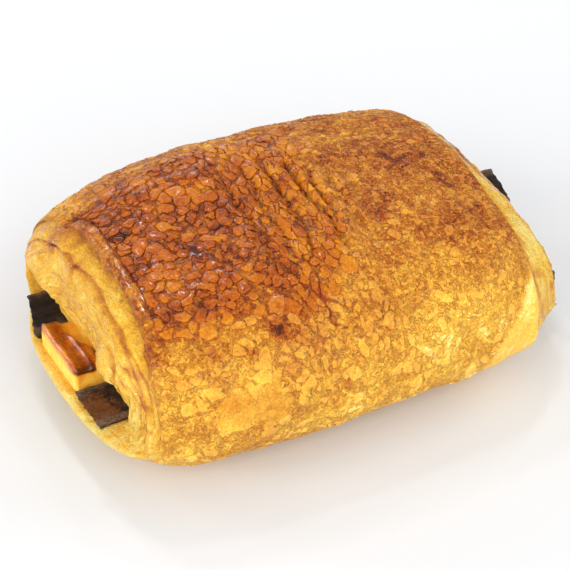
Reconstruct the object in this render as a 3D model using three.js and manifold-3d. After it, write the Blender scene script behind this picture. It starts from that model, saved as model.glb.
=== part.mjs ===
// Pain au chocolat: laminated dough rolled round two chocolate sticks that run through it.
// Millimetres, +Z up. X runs along the roll and -Y is its front. The origin is under the middle
// of the whole thing, on the surface that it rests on.

import * as THREE from 'three';
import { mergeVertices } from 'three/addons/utils/BufferGeometryUtils.js';
import Module from 'manifold-3d';

const wasm = await Module();
wasm.setup();

// The rolled dough without its chocolate. The middle of the dough is left of the origin, because
// the sticks stand out further at the right end.
const ROLL_LENGTH = 94;
const ROLL_WIDTH = 70.4;
const ROLL_HEIGHT = 36;
const ROLL_MIDDLE = [-3.9, -0.8, 0];
const BELLY_HEIGHT = 15.8; // the widest line of the section
const UNDERSIDE_DEPTH = 17.1; // how far the round underside would hang below it, unflattened
const ROLL_BOW = 1.2; // both ends lie this much further forward than the middle
const BACK_RISE = 0.06; // the back of the top is higher than its front, by this share of the height
const END_LEAN = { '-1': 0.05, 1: 0.2 }; // how much an end leans in, for each mm of height

// Exponents of the rounded boxes that the roll follows: 2 is an ellipse, more is squarer.
const END_SQUARENESS = 3.95;
const TOP_SQUARENESS = 2.5;
const UNDERSIDE_SQUARENESS = 2.25;

// The outer wrap stops short of both ends, and its cut edge stands proud of the layers inside.
// From the middle of the roll to that edge, at each end: on the top, and on the other sides.
const WRAP_END_TOP = { '-1': 36.5, 1: 36 };
const WRAP_END_SIDE = { '-1': 40, 1: 35 };
const WRAP_END_RIPPLE = 0.35;
const WRAP_THICKNESS = { '-1': 1.6, 1: 0.9 }; // as far as it shows at each end
const WRAP_LIP = 0.5; // how far the edge curls up
const WRAP_LIP_REACH = 4;
const WRAP_LIP_FADE = [4, 14]; // by the height over the table

// What the inner layers fall short of the rounded end, by their size in the section: 1 is the skin.
const LAYER_RECESS = [[0, 4.5], [0.38, 4.1], [0.6, 2.7], [0.715, 1.6], [0.745, 0.8], [1, 0]];
const END_SHARE = { '-1': 1, 1: 0.65 }; // of that recess at each end
const SIDE_SHARE = 0.35; // of that recess at the front and the back
const BACK_FILLED = 0.8; // by how much the back corner of an end is less recessed
const BACK_CORNER = [20, 29];
const BAND_STEP = 0.2; // the layers start this far past the edge of the wrap
const BAND_SLOPE = 50;

// The slot across each end, where the sticks and the tongue of dough between them show.
const SLOT_FLOOR = 9.6;
const SLOT_ROOF = 21;
const SLOT_FRONT = -17.8;
const SLOT_BACK = 25;
const SLOT_ROUNDING = 3;
const SLOT_WALL = 39; // from the middle of the roll to the inner wall of the slot
// The left slot runs on, shallower, out through the front.
const LEFT_SHELF_WALL = 42;
const LEFT_SHELF_BACK = -12;

// A bump of folded dough above the front stick, at the left end.
const FOLD_BUMP = { y: -14, z: 22, reach: 5, height: 1.2 };

const TONGUE_FRONT = -4.4;
const TONGUE_BACK = 11.8;
const TONGUE_TOP = 14.4;
const TONGUE_END = 45.8;
const TONGUE_ROOT_DEPTH = 2; // how deep it is joined to the wall and the floor of the slot
const FLOOR_LIP = { '-1': 0.8, 1: 0 }; // how far the floor stands out, past the ends of the sticks
const FLOOR_LIP_FROM = [2, 6]; // below the belly line
const FLOOR_LIP_TO = [9, 13];
const TONGUE_ROUNDING = 1.4;

// Crags of the baked skin: rolling hills, by their size and height, on the wrap and on its layers.
const WRAP_CRAGS = [{ size: 13, height: 0.6, seed: 1 }, { size: 6.5, height: 0.4, seed: 2 }];
const LAYER_CRAGS = [{ size: 6, height: 0.5, seed: 3 }];
const LAYER_CRAGS_FADE = [8, 12]; // from the smooth floor up
// Long swells of the back of the top, by their middle and reach along the roll.
const BACK_SWELLS = [{ middle: -10, reach: 17, height: 1.7 }, { middle: 24, reach: 13, height: -1 }];
// A crease along the back of the top, from the left end, and the lower shoulder behind it.
const CREASE_START = { x: -34, y: 15 };
const CREASE_TURN = { x: -12, y: 20 };
const CREASE_FADES = { left: [-46, -36], right: [-4, 12], height: [18, 26] };
const CREASE_HALF_WIDTH = 1.5;
const CREASE_DEPTH = 0.9;
const SHOULDER_DROP = 0.7;
const SHOULDER_EDGE = [-0.5, 1.8];
const TABLE_FADE = [1.5, 8]; // the skin is smooth below, and has all its relief above
const SWELL_FADE = [-5, 20]; // the swells grow from the front of the top to its back

// The chocolate sticks: a flat bar, its top face fluted in three lobes.
const STICK_WIDTH = 10.6;
const STICK_THICKNESS = 5.4;
const STICK_CORNER = 0.9;
const FLUTE_DEPTH = 0.55;
const STICK_CLEARANCE = 0.35;
const END_CHIPS = 0.6;
// The middles of their two ends, how far they are rolled towards the front, in degrees, how much
// further right each end is at the back of the stick, for each mm of width, and how much further in
// the broken end is at the bottom of the stick, for each mm of thickness.
const STICKS = {
  chocolate_front: {
    left: [-45.5, -10.4, 8.4], right: [50.6, -12.2, 8.6], roll: 2, skew: [0, 0.18], undercut: [0.55, 0.1],
  },
  chocolate_back: {
    left: [-44.1, 18, 9.6], right: [54.8, 11, 10.4], roll: 8, skew: [0.28, 0.16], undercut: [0.5, 0.1],
  },
};

// Facets
const STEPS_AROUND = 84;
const WRAP_STEPS = 32;
const LAYER_SIZES = [0.08, 0.18, 0.28, 0.38, 0.48, 0.6, 0.715, 0.745, 0.8, 0.9, 1];
const STICK_STEPS = 10;
const LOBES = 3;
const STEPS_PER_LOBE = 4;

const CRUST = { color: 0xc7782a, roughness: 0.5, metalness: 0 };
const CHOCOLATE = { color: 0x2b1a16, roughness: 0.6, metalness: 0 };

const smooth = (low, high, value) => THREE.MathUtils.smoothstep(value, low, high);
const mix = THREE.MathUtils.lerp;
const radians = THREE.MathUtils.degToRad;

// A value in -1..1 at each whole-number place, the same on every run.
function chance(i, j, k, seed) {
  const wave = Math.sin(i * 127.1 + j * 311.7 + k * 74.7 + seed * 53.3) * 43758.5453;
  return 2 * (wave - Math.floor(wave)) - 1;
}

const CUBE_CORNERS = [0, 1, 2, 3, 4, 5, 6, 7].map((n) => [n & 1, (n >> 1) & 1, n >> 2]);

// Rolling hills in -1..1: the chance values of the eight whole-number places around, blended.
function hills(point, size, seed) {
  const place = point.map((value) => value / size);
  const cell = place.map(Math.floor);
  const blend = place.map((value, axis) => smooth(0, 1, value - cell[axis]));
  let height = 0;
  for (const corner of CUBE_CORNERS) {
    const share = corner.reduce((product, far, axis) => product * (far ? blend[axis] : 1 - blend[axis]), 1);
    const [i, j, k] = corner.map((far, axis) => cell[axis] + far);
    height += share * chance(i, j, k, seed);
  }
  return height;
}

// A value read off a list of [place, value] pairs, straight between them.
function along(pairs, place) {
  let value = pairs[0][1];
  for (let i = 1; i < pairs.length; i++) {
    const [from, before] = pairs[i - 1];
    const [to, after] = pairs[i];
    value += THREE.MathUtils.clamp((place - from) / (to - from), 0, 1) * (after - before);
  }
  return value;
}

// Distance from the belly line to the skin of the full section, in a direction round it.
function sectionRadius(angle) {
  const up = Math.sin(angle) > 0;
  const depth = up ? ROLL_HEIGHT - BELLY_HEIGHT : UNDERSIDE_DEPTH;
  const squareness = up ? TOP_SQUARENESS : UNDERSIDE_SQUARENESS;
  const across = Math.abs(Math.cos(angle)) / (ROLL_WIDTH / 2);
  const high = Math.abs(Math.sin(angle)) / depth;
  return (across ** squareness + high ** squareness) ** (-1 / squareness);
}

// How far out the rounded end lies where the section has shrunk to a share of its size.
const endReach = (size) => (ROLL_LENGTH / 2) * (1 - size ** END_SQUARENESS) ** (1 / END_SQUARENESS);
// And the other way round.
function sizeAt(reach) {
  const share = Math.abs(reach / (ROLL_LENGTH / 2));
  return (1 - share ** END_SQUARENESS) ** (1 / END_SQUARENESS);
}

// How much nearer an end is than in the upright roll, above the belly line, as its share.
const leanFactor = (end, rise) => 1 - (END_LEAN[end] * rise) / (ROLL_LENGTH / 2);

function crags(list, point) {
  return list.reduce((sum, { size, height, seed }) => sum + height * hills(point, size, seed), 0);
}

// A rounded bump of height 1, out to about a reach on either side.
const bell = (distance, reach) => Math.exp(-((distance / reach) ** 2));

// How far the baked skin of the wrap stands off the rounded box: crags, swells, crease and shoulder.
function skinRelief(point) {
  const [x, y, z] = point;
  let swells = 0;
  for (const swell of BACK_SWELLS) {
    swells += swell.height * bell(x - swell.middle, swell.reach);
  }
  const creaseLine = mix(CREASE_START.y, CREASE_TURN.y, smooth(CREASE_START.x, CREASE_TURN.x, x));
  const { left, right, height } = CREASE_FADES;
  const creaseFade = smooth(...left, x) * (1 - smooth(...right, x)) * smooth(...height, z);
  const crease = CREASE_DEPTH * bell(y - creaseLine - CREASE_HALF_WIDTH / 2, CREASE_HALF_WIDTH);
  const shoulder = SHOULDER_DROP * smooth(...SHOULDER_EDGE, y - creaseLine);
  const top = swells * smooth(...SWELL_FADE, y) - creaseFade * (crease + shoulder);
  return (crags(WRAP_CRAGS, point) + top) * smooth(...TABLE_FADE, z);
}

// A point of the section, in a direction round the belly line, flattened by the table.
function sectionPoint(x, angle, radius) {
  const y = radius * Math.cos(angle) - ROLL_BOW * (x / (ROLL_LENGTH / 2)) ** 2;
  const z = BELLY_HEIGHT + radius * Math.sin(angle);
  return [x, y, Math.max(z, 0) * (1 + (BACK_RISE * y) / ROLL_WIDTH)];
}

// Where the wrap stops, at one end (-1 left, 1 right), in a direction round the roll.
function wrapEnd(end, angle) {
  const ripple = WRAP_END_RIPPLE * hills([end * 40, 9 * Math.cos(angle), 9 * Math.sin(angle)], 4, 5);
  return mix(WRAP_END_SIDE[end], WRAP_END_TOP[end], smooth(0.2, 1, Math.sin(angle))) + ripple;
}

// The wrap: x from edge to edge, its skin at the size of the rounded box plus the crags.
function wrapPoint(share, angle) {
  const x = mix(-wrapEnd(-1, angle), wrapEnd(1, angle), share);
  const end = x < 0 ? -1 : 1;
  const full = sectionRadius(angle);
  const radius = full * sizeAt(x / leanFactor(end, full * Math.sin(angle)));
  const bare = sectionPoint(x, angle, radius);
  const toEdge = wrapEnd(end, angle) - Math.abs(x);
  const lip = WRAP_LIP * (1 - smooth(0, WRAP_LIP_REACH, toEdge)) * smooth(...WRAP_LIP_FADE, bare[2]);
  return sectionPoint(x, angle, radius + skinRelief(bare) + lip);
}

// The layers inside the wrap, from its edge (share 1) to the middle of the end (share 0).
function layerPoint(end, share, angle) {
  const edge = wrapEnd(end, angle);
  const full = sectionRadius(angle);
  const skinSize = sizeAt(edge / leanFactor(end, full * Math.sin(angle)));
  const outermost = skinSize - (WRAP_THICKNESS[end] * smooth(-0.6, 0.3, Math.sin(angle))) / full;
  const size = share * outermost;
  const rise = size * full * Math.sin(angle);
  const towardsBack = smooth(...BACK_CORNER, size * full * Math.cos(angle));
  const upward = Math.sin(angle);
  const high = mix(SIDE_SHARE, 1, smooth(0.1, 0.8, upward)) * smooth(-0.5, 0.1, upward);
  const recess = END_SHARE[end] * high * (1 - BACK_FILLED * towardsBack) * along(LAYER_RECESS, size);
  const lip = FLOOR_LIP[end] * smooth(...FLOOR_LIP_FROM, -rise) * (1 - smooth(...FLOOR_LIP_TO, -rise));
  const face = endReach(size) * leanFactor(end, rise) + lip - recess;
  const reach = Math.min(face, edge + BAND_STEP + (outermost - size) * BAND_SLOPE);
  const bare = sectionPoint(end * reach, angle, size * full);
  const [, y, z] = bare;
  const lumps = crags(LAYER_CRAGS, bare) * smooth(...LAYER_CRAGS_FADE, z);
  const fromBump = Math.hypot(y - FOLD_BUMP.y, z - FOLD_BUMP.z);
  const bump = end < 0 ? FOLD_BUMP.height * bell(fromBump, FOLD_BUMP.reach) : 0;
  const inside = 1 - smooth(0.85, 1, share);
  return sectionPoint(end * (reach + (lumps + bump) * inside), angle, size * full);
}

// A closed skin from rings of points that are given from the left pole to the right one.
function skinOfRings(leftPole, rings, rightPole) {
  const around = rings[0].length;
  const positions = [...leftPole, ...rings.flat(2), ...rightPole];
  const last = positions.length / 3 - 1;
  const index = [];
  for (let i = 0; i < around; i++) {
    const next = (i + 1) % around;
    index.push(0, 1 + next, 1 + i);
    for (let row = 0; row < rings.length - 1; row++) {
      const here = 1 + row * around;
      const there = here + around;
      index.push(here + i, there + next, there + i, here + i, here + next, there + next);
    }
    const end = 1 + (rings.length - 1) * around;
    index.push(last, end + i, end + next);
  }
  const geometry = new THREE.BufferGeometry();
  geometry.setAttribute('position', new THREE.Float32BufferAttribute(positions, 3));
  geometry.setIndex(index);
  return geometry;
}

const anglesAround = Array.from({ length: STEPS_AROUND }, (_, i) => (2 * Math.PI * i) / STEPS_AROUND);

function doughSkin() {
  const ring = (place) => anglesAround.map(place);
  const leftLayers = LAYER_SIZES.map((share) => ring((angle) => layerPoint(-1, share, angle)));
  const rightLayers = LAYER_SIZES.map((share) => ring((angle) => layerPoint(1, share, angle))).reverse();
  const shares = Array.from({ length: WRAP_STEPS + 1 }, (_, i) => i / WRAP_STEPS);
  const wrap = shares.map((share) => ring((angle) => wrapPoint(share, angle)));
  const rings = [...leftLayers, ...wrap, ...rightLayers];
  return skinOfRings(layerPoint(-1, 0, 0), rings, layerPoint(1, 0, 0));
}

// A rounded rectangle in a plane across the roll (shape x is Y, shape y is Z).
function roundedRectangle(low, high, rounding) {
  const shape = new THREE.Shape();
  const [left, bottom] = low;
  const [right, top] = high;
  shape.moveTo(left + rounding, bottom);
  shape.lineTo(right - rounding, bottom);
  shape.absarc(right - rounding, bottom + rounding, rounding, -Math.PI / 2, 0);
  shape.lineTo(right, top - rounding);
  shape.absarc(right - rounding, top - rounding, rounding, 0, Math.PI / 2);
  shape.lineTo(left + rounding, top);
  shape.absarc(left + rounding, top - rounding, rounding, Math.PI / 2, Math.PI);
  shape.lineTo(left, bottom + rounding);
  shape.absarc(left + rounding, bottom + rounding, rounding, Math.PI, 1.5 * Math.PI);
  return shape;
}

// An outline carried along X, from one place to another.
function bar(shape, fromX, toX, bevel) {
  const settings = { depth: toX - fromX - 2 * bevel, curveSegments: 4, bevelEnabled: bevel > 0 };
  Object.assign(settings, { bevelThickness: bevel, bevelSize: bevel, bevelOffset: -bevel, bevelSegments: 2 });
  const geometry = new THREE.ExtrudeGeometry(shape, settings);
  geometry.translate(0, 0, fromX + bevel);
  const toRoll = new THREE.Matrix4().makeBasis(
    new THREE.Vector3(0, 1, 0),
    new THREE.Vector3(0, 0, 1),
    new THREE.Vector3(1, 0, 0),
  );
  return geometry.applyMatrix4(toRoll);
}

// The shallow run of the left slot, out through the front.
function leftShelf() {
  const low = [-ROLL_WIDTH, SLOT_FLOOR];
  const outline = roundedRectangle(low, [LEFT_SHELF_BACK, SLOT_ROOF], SLOT_ROUNDING);
  return bar(outline, -ROLL_LENGTH, -LEFT_SHELF_WALL, 0);
}

// The slot and its tongue at one end: -1 is the left one.
function slot(end) {
  const outline = roundedRectangle([SLOT_FRONT, SLOT_FLOOR], [SLOT_BACK, SLOT_ROOF], SLOT_ROUNDING);
  return end < 0 ? bar(outline, -ROLL_LENGTH, -SLOT_WALL, 0) : bar(outline, SLOT_WALL, ROLL_LENGTH, 0);
}

function tongue(end) {
  const low = [TONGUE_FRONT, SLOT_FLOOR - TONGUE_ROOT_DEPTH];
  const outline = roundedRectangle(low, [TONGUE_BACK, TONGUE_TOP], TONGUE_ROUNDING);
  const root = SLOT_WALL - TONGUE_ROOT_DEPTH;
  const bevel = TONGUE_ROUNDING / 2;
  return end < 0 ? bar(outline, -TONGUE_END, -root, bevel) : bar(outline, root, TONGUE_END, bevel);
}

// The section of a stick, grown by a clearance: chamfered corners, and three lobes on top.
function stickSection(grow) {
  const half = STICK_WIDTH / 2 + grow;
  const low = -STICK_THICKNESS / 2 - grow;
  const high = STICK_THICKNESS / 2 + grow;
  const flat = half - STICK_CORNER;
  const points = [[-flat, low], [flat, low], [half, low + STICK_CORNER], [half, high - STICK_CORNER]];
  const steps = LOBES * STEPS_PER_LOBE;
  for (let i = 0; i <= steps; i++) {
    const onEdge = i === 0 || i === steps;
    const flute = 1 - Math.abs(Math.sin((Math.PI * i) / STEPS_PER_LOBE));
    const dip = grow > 0 || onEdge ? 0 : FLUTE_DEPTH * flute;
    points.push([mix(flat, -flat, i / steps), high - dip]);
  }
  points.push([-half, high - STICK_CORNER], [-half, low + STICK_CORNER]);
  return points;
}

// A stick from its left end to its right one: the section, rolled about its own length, carried
// straight, with the ends slightly broken off. Its tunnel is the same, grown all round.
function stickSkin({ left, right, roll, skew, undercut }, grow) {
  const section = stickSection(grow);
  const turn = radians(roll);
  const rings = [];
  for (let i = 0; i <= STICK_STEPS; i++) {
    const share = i / STICK_STEPS;
    const centre = left.map((value, axis) => mix(value, right[axis], share));
    const outward = i === 0 ? -1 : i === STICK_STEPS ? 1 : 0;
    const slant = mix(skew[0], skew[1], share);
    const under = mix(-undercut[0], undercut[1], share);
    rings.push(section.map(([across, high], corner) => {
      const chip = grow > 0 ? 0 : -END_CHIPS * Math.abs(chance(corner, i, 0, 7));
      return [
        centre[0] + across * slant + high * under + outward * (grow + chip),
        centre[1] + across * Math.cos(turn) - high * Math.sin(turn),
        centre[2] + across * Math.sin(turn) + high * Math.cos(turn),
      ];
    }));
  }
  const average = (ring, axis) => ring.reduce((sum, point) => sum + point[axis], 0) / ring.length;
  const middle = (ring) => [0, 1, 2].map((axis) => average(ring, axis));
  return skinOfRings(middle(rings[0]), rings, middle(rings[STICK_STEPS]));
}

// Solids for joining and cutting, and back to a geometry.
function solid(geometry) {
  const bare = geometry.clone();
  bare.deleteAttribute('normal');
  bare.deleteAttribute('uv');
  const merged = mergeVertices(bare, 1e-4);
  const mesh = new wasm.Mesh({
    numProp: 3,
    vertProperties: new Float32Array(merged.attributes.position.array),
    triVerts: new Uint32Array(merged.index.array),
  });
  return new wasm.Manifold(mesh);
}

function geometryOf(manifold) {
  const mesh = manifold.getMesh();
  const geometry = new THREE.BufferGeometry();
  geometry.setAttribute('position', new THREE.BufferAttribute(mesh.vertProperties, 3));
  geometry.setIndex(new THREE.BufferAttribute(mesh.triVerts, 1));
  return geometry;
}

// The dough: slots cut across both ends, a tongue back in each, and a tunnel for each stick.
function dough() {
  let body = solid(doughSkin());
  body = body.subtract(solid(leftShelf()));
  for (const end of [-1, 1]) {
    body = body.subtract(solid(slot(end))).add(solid(tongue(end)));
  }
  for (const stick of Object.values(STICKS)) {
    body = body.subtract(solid(stickSkin(stick, STICK_CLEARANCE)));
  }
  return geometryOf(body);
}

function piece(name, geometry, finish) {
  const mesh = new THREE.Mesh(geometry, new THREE.MeshStandardMaterial(finish));
  mesh.name = name;
  return mesh;
}

const painAuChocolat = new THREE.Group();
painAuChocolat.add(piece('pastry', dough(), CRUST));
for (const [name, stick] of Object.entries(STICKS)) {
  painAuChocolat.add(piece(name, stickSkin(stick, 0), CHOCOLATE));
}
painAuChocolat.position.set(...ROLL_MIDDLE);

export default painAuChocolat;
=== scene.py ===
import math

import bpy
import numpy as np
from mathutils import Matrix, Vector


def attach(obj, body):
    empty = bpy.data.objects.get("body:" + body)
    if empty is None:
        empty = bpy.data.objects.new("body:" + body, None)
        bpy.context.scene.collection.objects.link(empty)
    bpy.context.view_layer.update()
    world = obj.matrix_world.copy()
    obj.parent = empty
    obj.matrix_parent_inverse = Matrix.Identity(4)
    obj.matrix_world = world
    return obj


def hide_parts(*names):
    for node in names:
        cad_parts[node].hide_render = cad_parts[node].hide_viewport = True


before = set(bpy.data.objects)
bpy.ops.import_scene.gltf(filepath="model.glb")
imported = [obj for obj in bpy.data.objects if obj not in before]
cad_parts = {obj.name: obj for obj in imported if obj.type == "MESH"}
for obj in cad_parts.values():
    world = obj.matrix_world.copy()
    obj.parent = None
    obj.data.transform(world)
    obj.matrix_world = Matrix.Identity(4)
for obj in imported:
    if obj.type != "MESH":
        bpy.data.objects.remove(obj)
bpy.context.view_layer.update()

# Pain au chocolat: the looks of the baked dough, its crackled egg wash and its two chocolate sticks.
# Shapes are worked out in millimetres in the frame of the roll, whose middle is ROLL_MIDDLE in the
# frame of the part: x along the roll, y towards its back, z up from the table. Angles round the
# section are taken about the belly line: 0 is the back, a quarter turn is the top.

ROLL_LENGTH = 94
ROLL_WIDTH = 70.4
ROLL_HEIGHT = 36
ROLL_MIDDLE = np.array([-3.9, -0.8, 0])
HALF = ROLL_LENGTH / 2
BELLY_HEIGHT = 15.8
UNDERSIDE_DEPTH = 17.1
ROLL_BOW = 1.2
BACK_RISE = 0.06

# Values in pairs are those of the left end, -1, and the right end, 1.
END_LEAN = {-1: 0.05, 1: 0.2}
END_SQUARENESS = 3.95
TOP_SQUARENESS = 2.5
UNDERSIDE_SQUARENESS = 2.25

WRAP_END_TOP = {-1: 36.5, 1: 36}
WRAP_END_SIDE = {-1: 40, 1: 35}
WRAP_END_RIPPLE = 0.35
WRAP_THICKNESS = {-1: 1.6, 1: 0.9}
WRAP_LIP = 0.5
WRAP_LIP_REACH = 4

# How deep the layers of an end lie, by their place as a share of the section's size.
LAYER_RECESS = [(0, 4.5), (0.38, 4.1), (0.6, 2.7), (0.715, 1.6), (0.745, 0.8), (1, 0)]
END_SHARE = {-1: 1, 1: 0.65}
SIDE_SHARE = 0.35
BACK_FILLED = 0.8
BAND_SLOPE = 50
FLOOR_LIP = {-1: 0.8, 1: 0}

SLOT_FLOOR = 9.6
SLOT_ROOF = 21
SLOT_FRONT = -17.8
SLOT_BACK = 25
SLOT_ROUNDING = 3
SLOT_WALL = 39
SLOT_RIM = 1.3
SLOT_MIDDLE = np.array([(SLOT_FRONT + SLOT_BACK) / 2, (SLOT_FLOOR + SLOT_ROOF) / 2])
SLOT_HALF = np.array([(SLOT_BACK - SLOT_FRONT) / 2, (SLOT_ROOF - SLOT_FLOOR) / 2])
LEFT_SHELF_WALL = 42
LEFT_SHELF_BACK = -12
FOLD_BUMP = {"y": -14, "z": 22, "reach": 5, "height": 1.2}

TONGUE_FRONT = -4.4
TONGUE_BACK = 11.8
TONGUE_TOP = 14.4
TONGUE_END = 45.8

# Hills of the skin and of the layers: size, height and seed.
WRAP_CRAGS = [(13, 0.6, 1), (6.5, 0.4, 2)]
LAYER_CRAGS = [(6, 0.5, 3)]

# Long swells at the back: place along the roll, reach and height.
BACK_SWELLS = [(-10, 17, 1.7), (24, 13, -1)]

# The crease behind the glazed zone runs between two places (along the roll, towards the back).
CREASE_START = (-34, 15)
CREASE_TURN = (-12, 20)
CREASE_HALF_WIDTH = 1.5
CREASE_DEPTH = 0.9
SHOULDER_DROP = 0.7

# Wrinkles across the top: place along the roll, lean, front end, back end and depth.
WRINKLES = [
    (-9.2, 0.05, -12, 6, 0.35),
    (-5.2, 0.10, -15, 9, 0.40),
    (-1.1, 0.08, -16, 11, 0.55),
    (3.2, -0.02, -17, 8, 0.60),
    (6.0, 0.12, -16, 4, 0.45),
    (9.4, 0.10, -15, 3, 0.35),
    (13.0, 0.16, -13, 1, 0.25),
]

# Places along the roll and where the plates for them are scattered: drawn out over the wrinkles.
WRINKLE_DRAW = [(-60, -60), (-12, -12), (9, 18), (60, 69)]

# The line of the groove behind the wrinkles, along the roll and towards the back.
BACK_GROOVE = [(-6, 23), (-0.5, 17.6), (5.6, 9), (11.4, 4)]

STICK_WIDTH = 10.6
STICK_THICKNESS = 5.4
STICK_CORNER = 0.9
FLUTE_DEPTH = 0.55
LOBES = 3

# The middle of each stick's two ends, its roll in degrees, and how far each end slants across the
# stick and is undercut, as slopes.
STICKS = {
    "chocolate_front": dict(left=(-45.5, -10.4, 8.4), right=(50.6, -12.2, 8.6), roll=2,
                            skew=(0, 0.18), undercut=(0.55, 0.1)),
    "chocolate_back": dict(left=(-44.1, 18, 9.6), right=(54.8, 11, 10.4), roll=8,
                           skew=(0.28, 0.16), undercut=(0.5, 0.1)),
}

MILLIMETRE = 0.001


def mix(a, b, share):
    """From a at a share of 0, straight to b at 1."""
    return a + (b - a) * share


def smooth(low, high, value):
    """0 below low, 1 above high, and between them the cubic 3t^2 - 2t^3."""
    t = np.clip((value - low) / (high - low), 0, 1)
    return t * t * (3 - 2 * t)


def bell(distance, reach):
    """A rounded bump of height 1: e to the minus square of distance over reach."""
    return np.exp(-((distance / reach) ** 2))


def window(value, low, low_full, high_full, high):
    """Rises smoothly from low to low_full, stays 1, and falls from high_full to high."""
    return smooth(low, low_full, value) * (1 - smooth(high_full, high, value))


def chance(i, j, k, seed):
    """A value in -1..1 at each whole-number place: the fraction of a large multiple of a sine."""
    wave = np.sin(i * 127.1 + j * 311.7 + k * 74.7 + seed * 53.3) * 43758.5453
    return 2 * (wave - np.floor(wave)) - 1


def hills(points, size, seed):
    """Rolling hills in -1..1: the chance values of the eight whole-number places around, blended."""
    place = points / size
    cell = np.floor(place)
    blend = smooth(0, 1, place - cell)
    height = 0
    for corner in np.ndindex(2, 2, 2):
        far = np.array(corner)
        share = np.prod(np.where(far == 1, blend, 1 - blend), axis=-1)
        i, j, k = np.moveaxis(cell + far, -1, 0)
        height = height + share * chance(i, j, k, seed)
    return height


def crags(spec, points):
    """The sum of the hills in a list of (size, height, seed)."""
    return sum(height * hills(points, size, seed) for size, height, seed in spec)


def along(pairs, place):
    """A value read off a list of (place, value) pairs, straight between them."""
    places, values = zip(*pairs)
    return np.interp(place, places, values)


def joined(x, y, z):
    """Points from their three coordinates, each spread to the shape of the others."""
    return np.stack(np.broadcast_arrays(x, y, z), axis=-1)


def unit(arrows):
    """The arrows at length 1, by dividing each by its length."""
    return arrows / np.maximum(np.linalg.norm(arrows, axis=-1, keepdims=True), 1e-6)


def rounded_box(turn, power):
    """How far a box of half width 1 with rounded corners reaches in a direction:
    |cos|^power + |sin|^power, to the power -1/power."""
    return (np.abs(np.cos(turn)) ** power + np.abs(np.sin(turn)) ** power) ** (-1 / power)


def at_end(values, x):
    """The left or the right value of a pair, by the side of the roll that x is on."""
    return np.where(x < 0, values[-1], values[1])


def section_radius(angle):
    """From the belly line to the skin of the full section: a rounded box of power n,
    (|cos| / half width)^n + (|sin| / depth)^n, to the power -1/n."""
    up = np.sin(angle) > 0
    depth = np.where(up, ROLL_HEIGHT - BELLY_HEIGHT, UNDERSIDE_DEPTH)
    n = np.where(up, TOP_SQUARENESS, UNDERSIDE_SQUARENESS)
    across = np.abs(np.cos(angle)) / (ROLL_WIDTH / 2)
    high = np.abs(np.sin(angle)) / depth
    return (across**n + high**n) ** (-1 / n)


def from_belly(angle, radius):
    """The place (y, z) in an upright section at an angle and a radius round the belly line."""
    return radius * np.cos(angle), BELLY_HEIGHT + radius * np.sin(angle)


def towards_middle(points):
    """Arrows of length 1 from the points, across the roll, towards its middle line."""
    return unit((np.array([0, -ROLL_BOW, BELLY_HEIGHT]) - points) * [0, 1, 1])


def end_reach(size):
    """How far out the rounded end lies where the section has shrunk to a share of its size."""
    return HALF * (1 - np.clip(size, 0, 1) ** END_SQUARENESS) ** (1 / END_SQUARENESS)


def size_at(reach):
    """The other way round: the share of its size that the section has at a reach."""
    share = np.clip(np.abs(reach / HALF), 0, 1)
    return (1 - share**END_SQUARENESS) ** (1 / END_SQUARENESS)


def lean_factor(x, rise):
    """How much shorter the roll is at a height over the belly line, as its ends lean inwards."""
    return 1 - at_end(END_LEAN, x) * rise / HALF


def section_point(x, angle, radius):
    """The point of the section at a radius round the belly line: bowed forward towards the ends
    with the square of x, cut off at the table, and raised a little towards the back."""
    y, z = from_belly(angle, radius)
    y = y - ROLL_BOW * (x / HALF) ** 2
    return joined(x, y, np.maximum(z, 0) * (1 + BACK_RISE * y / ROLL_WIDTH))


def crease_line(x):
    (x0, y0), (x1, y1) = CREASE_START, CREASE_TURN
    return mix(y0, y1, smooth(x0, x1, x))


def crease_fade(x, z):
    """1 along the crease, fading at both its ends and down the sides."""
    return window(x, -46, -36, -4, 12) * smooth(18, 26, z)


def skin_relief(points):
    """How far the baked skin stands off the rounded box: crags, long swells at the back, the
    crease with its lower shoulder, and wrinkles that run over the top."""
    x, y, z = np.moveaxis(points, -1, 0)
    swells = sum(height * bell(x - middle, reach) for middle, reach, height in BACK_SWELLS)
    line = crease_line(x)
    crease = CREASE_DEPTH * bell(y - line - CREASE_HALF_WIDTH / 2, CREASE_HALF_WIDTH)
    shoulder = SHOULDER_DROP * smooth(-0.5, 1.8, y - line)
    top = swells * smooth(-5, 20, y) - crease_fade(x, z) * (crease + shoulder)
    relief = crags(WRAP_CRAGS, points) + top
    bend = 0.8 * hills(points, 5, 11)
    for step, depth in ((0, -0.5), (1.3, 0.4)):
        line = [(place - 0.6 * step, run - step) for place, run in BACK_GROOVE]
        relief = relief + depth * near_line(x - bend, y, line, 0.8) * smooth(22, 28, z)
    for place, lean, front, back, depth in WRINKLES:
        off = x - place - lean * y - bend
        fold = 0.8 * bell(off - 1.3, 0.9) + 0.5 * bell(off + 1.4, 1.0) - bell(off, 0.55)
        ends = window(y, front - 3, front + 2, back - 2, back + 4)
        relief = relief + 1.5 * depth * fold * ends * smooth(26, 31, z)
    fine = 0.22 * hills(points, 4.3, 14) + 0.15 * hills(points, 2.5, 12) + 0.09 * hills(points, 1.3, 13)
    return (relief + fine * (1 - 0.6 * glazed_zone(points))) * smooth(1.5, 8, z)


def wrap_end(end, angle):
    """Where the wrap stops, at one end (-1 left, 1 right), in a direction round the roll."""
    ring = joined(end * 40, 9 * np.cos(angle), 9 * np.sin(angle))
    place = mix(WRAP_END_SIDE[end], WRAP_END_TOP[end], smooth(0.2, 1, np.sin(angle)))
    return place + WRAP_END_RIPPLE * hills(ring, 4, 5)


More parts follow.
